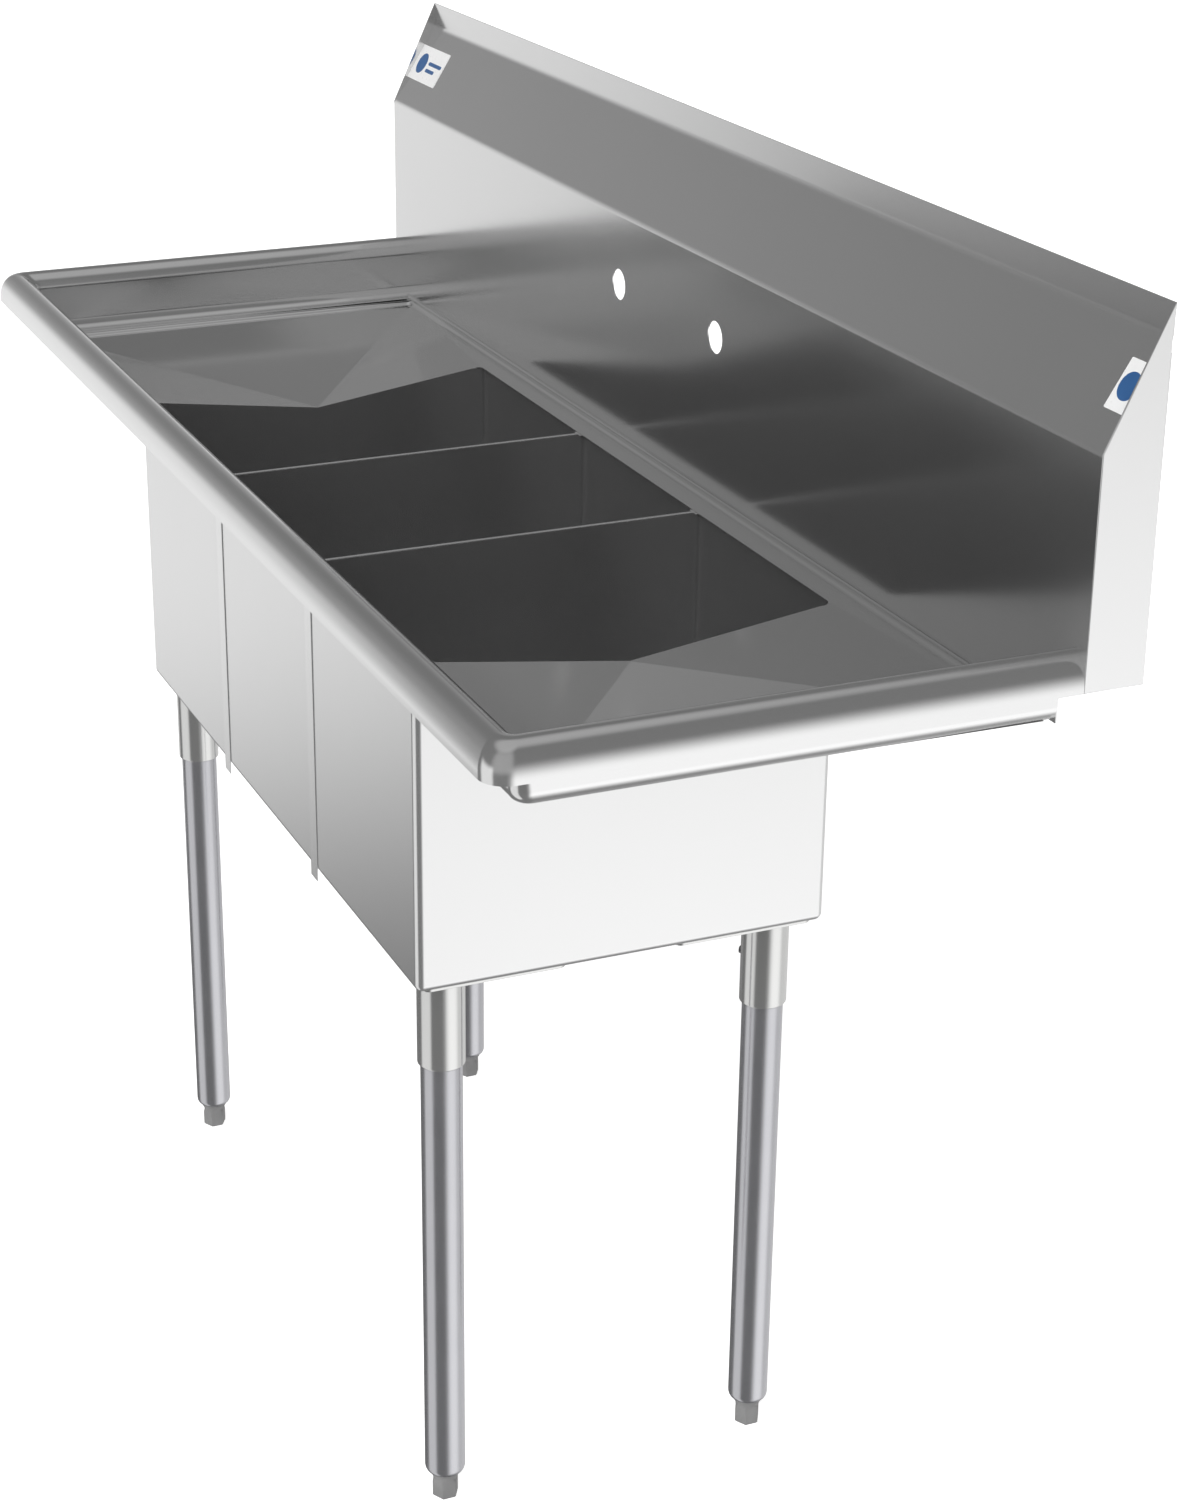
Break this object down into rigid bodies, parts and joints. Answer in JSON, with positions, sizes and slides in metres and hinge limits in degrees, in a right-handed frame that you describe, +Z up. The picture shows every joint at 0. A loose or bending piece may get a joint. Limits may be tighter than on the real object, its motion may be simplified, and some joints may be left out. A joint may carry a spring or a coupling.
{
  "type": "three compartment sink",
  "caption": "Free-standing stainless sink with bowls in a row, a drainboard at each end, a backsplash with faucet holes, tube legs, levelling feet and basket drains.",
  "frame": {"origin": "on the floor under the middle of the bounding box", "axes": "+X along the length to the right, +Y from the front rim to the wall, +Z up"},
  "size_m": [1.406, 0.499, 1.107],
  "materials": {
    "deck_stainless": "satin, fine grain",
    "splash_stainless": "satin, fine grain",
    "bowl_stainless": "satin, fine grain",
    "trim_stainless": "satin",
    "socket_stainless": "satin",
    "screw_steel": "plain",
    "galvanized_tube": "galvanized, softly banded",
    "insert_plastic": "moulded",
    "foot_plastic": "moulded",
    "drain_rubber": "matt",
    "fibre_washer": "pressed fibre",
    "locknut_brass": "cast",
    "drain_chrome": "polished",
    "label_film": "printed film"
  },
  "bodies": {
    "sink": {"deck": "deck_stainless", "backsplash": "splash_stainless", "end_cap_left": "splash_stainless", "end_cap_right": "splash_stainless", "bowl_left": "bowl_stainless", "bowl_centre": "bowl_stainless", "bowl_right": "bowl_stainless", "cover_strip_left": "trim_stainless", "cover_strip_right": "trim_stainless", "divider_cap_left": "trim_stainless", "divider_cap_right": "trim_stainless", "leg_plate_front_left": "socket_stainless", "leg_plate_front_right": "socket_stainless", "leg_plate_back_left": "socket_stainless", "leg_plate_back_right": "socket_stainless", "leg_socket_front_left": "socket_stainless", "leg_socket_front_right": "socket_stainless", "leg_socket_back_left": "socket_stainless", "leg_socket_back_right": "socket_stainless", "set_screws": "screw_steel", "leg_tube_front_left": "galvanized_tube", "leg_tube_front_right": "galvanized_tube", "leg_tube_back_left": "galvanized_tube", "leg_tube_back_right": "galvanized_tube", "foot_insert_front_left": "insert_plastic", "foot_insert_front_right": "insert_plastic", "foot_insert_back_left": "insert_plastic", "foot_insert_back_right": "insert_plastic", "drain_body_left": "drain_chrome", "drain_body_centre": "drain_chrome", "drain_body_right": "drain_chrome", "drain_gasket_left": "drain_rubber", "drain_gasket_centre": "drain_rubber", "drain_gasket_right": "drain_rubber", "drain_washer_left": "fibre_washer", "drain_washer_centre": "fibre_washer", "drain_washer_right": "fibre_washer", "drain_locknut_left": "locknut_brass", "drain_locknut_centre": "locknut_brass", "drain_locknut_right": "locknut_brass", "label_left": "label_film", "label_right": "label_film"},
    "foot_front_left": {"foot_front_left": "foot_plastic"},
    "foot_front_right": {"foot_front_right": "foot_plastic"},
    "foot_back_left": {"foot_back_left": "foot_plastic"},
    "foot_back_right": {"foot_back_right": "foot_plastic"},
    "basket_left": {"strainer_basket_left": "drain_chrome", "basket_stopper_left": "drain_rubber"},
    "basket_centre": {"strainer_basket_centre": "drain_chrome", "basket_stopper_centre": "drain_rubber"},
    "basket_right": {"strainer_basket_right": "drain_chrome", "basket_stopper_right": "drain_rubber"}
  },
  "joints": [
    {"name": "foot_screw_front_left", "type": "slide", "parent": "sink", "child": "foot_front_left", "axis": [0, 0, -1], "range_m": [0, 0.025]},
    {"name": "foot_screw_front_right", "type": "slide", "parent": "sink", "child": "foot_front_right", "axis": [0, 0, -1], "range_m": [0, 0.025]},
    {"name": "foot_screw_back_left", "type": "slide", "parent": "sink", "child": "foot_back_left", "axis": [0, 0, -1], "range_m": [0, 0.025]},
    {"name": "foot_screw_back_right", "type": "slide", "parent": "sink", "child": "foot_back_right", "axis": [0, 0, -1], "range_m": [0, 0.025]},
    {"name": "basket_lift_left", "type": "slide", "parent": "sink", "child": "basket_left", "axis": [0, 0, 1], "range_m": [0, 0.4]},
    {"name": "basket_lift_centre", "type": "slide", "parent": "sink", "child": "basket_centre", "axis": [0, 0, 1], "range_m": [0, 0.4]},
    {"name": "basket_lift_right", "type": "slide", "parent": "sink", "child": "basket_right", "axis": [0, 0, 1], "range_m": [0, 0.4]}
  ]
}
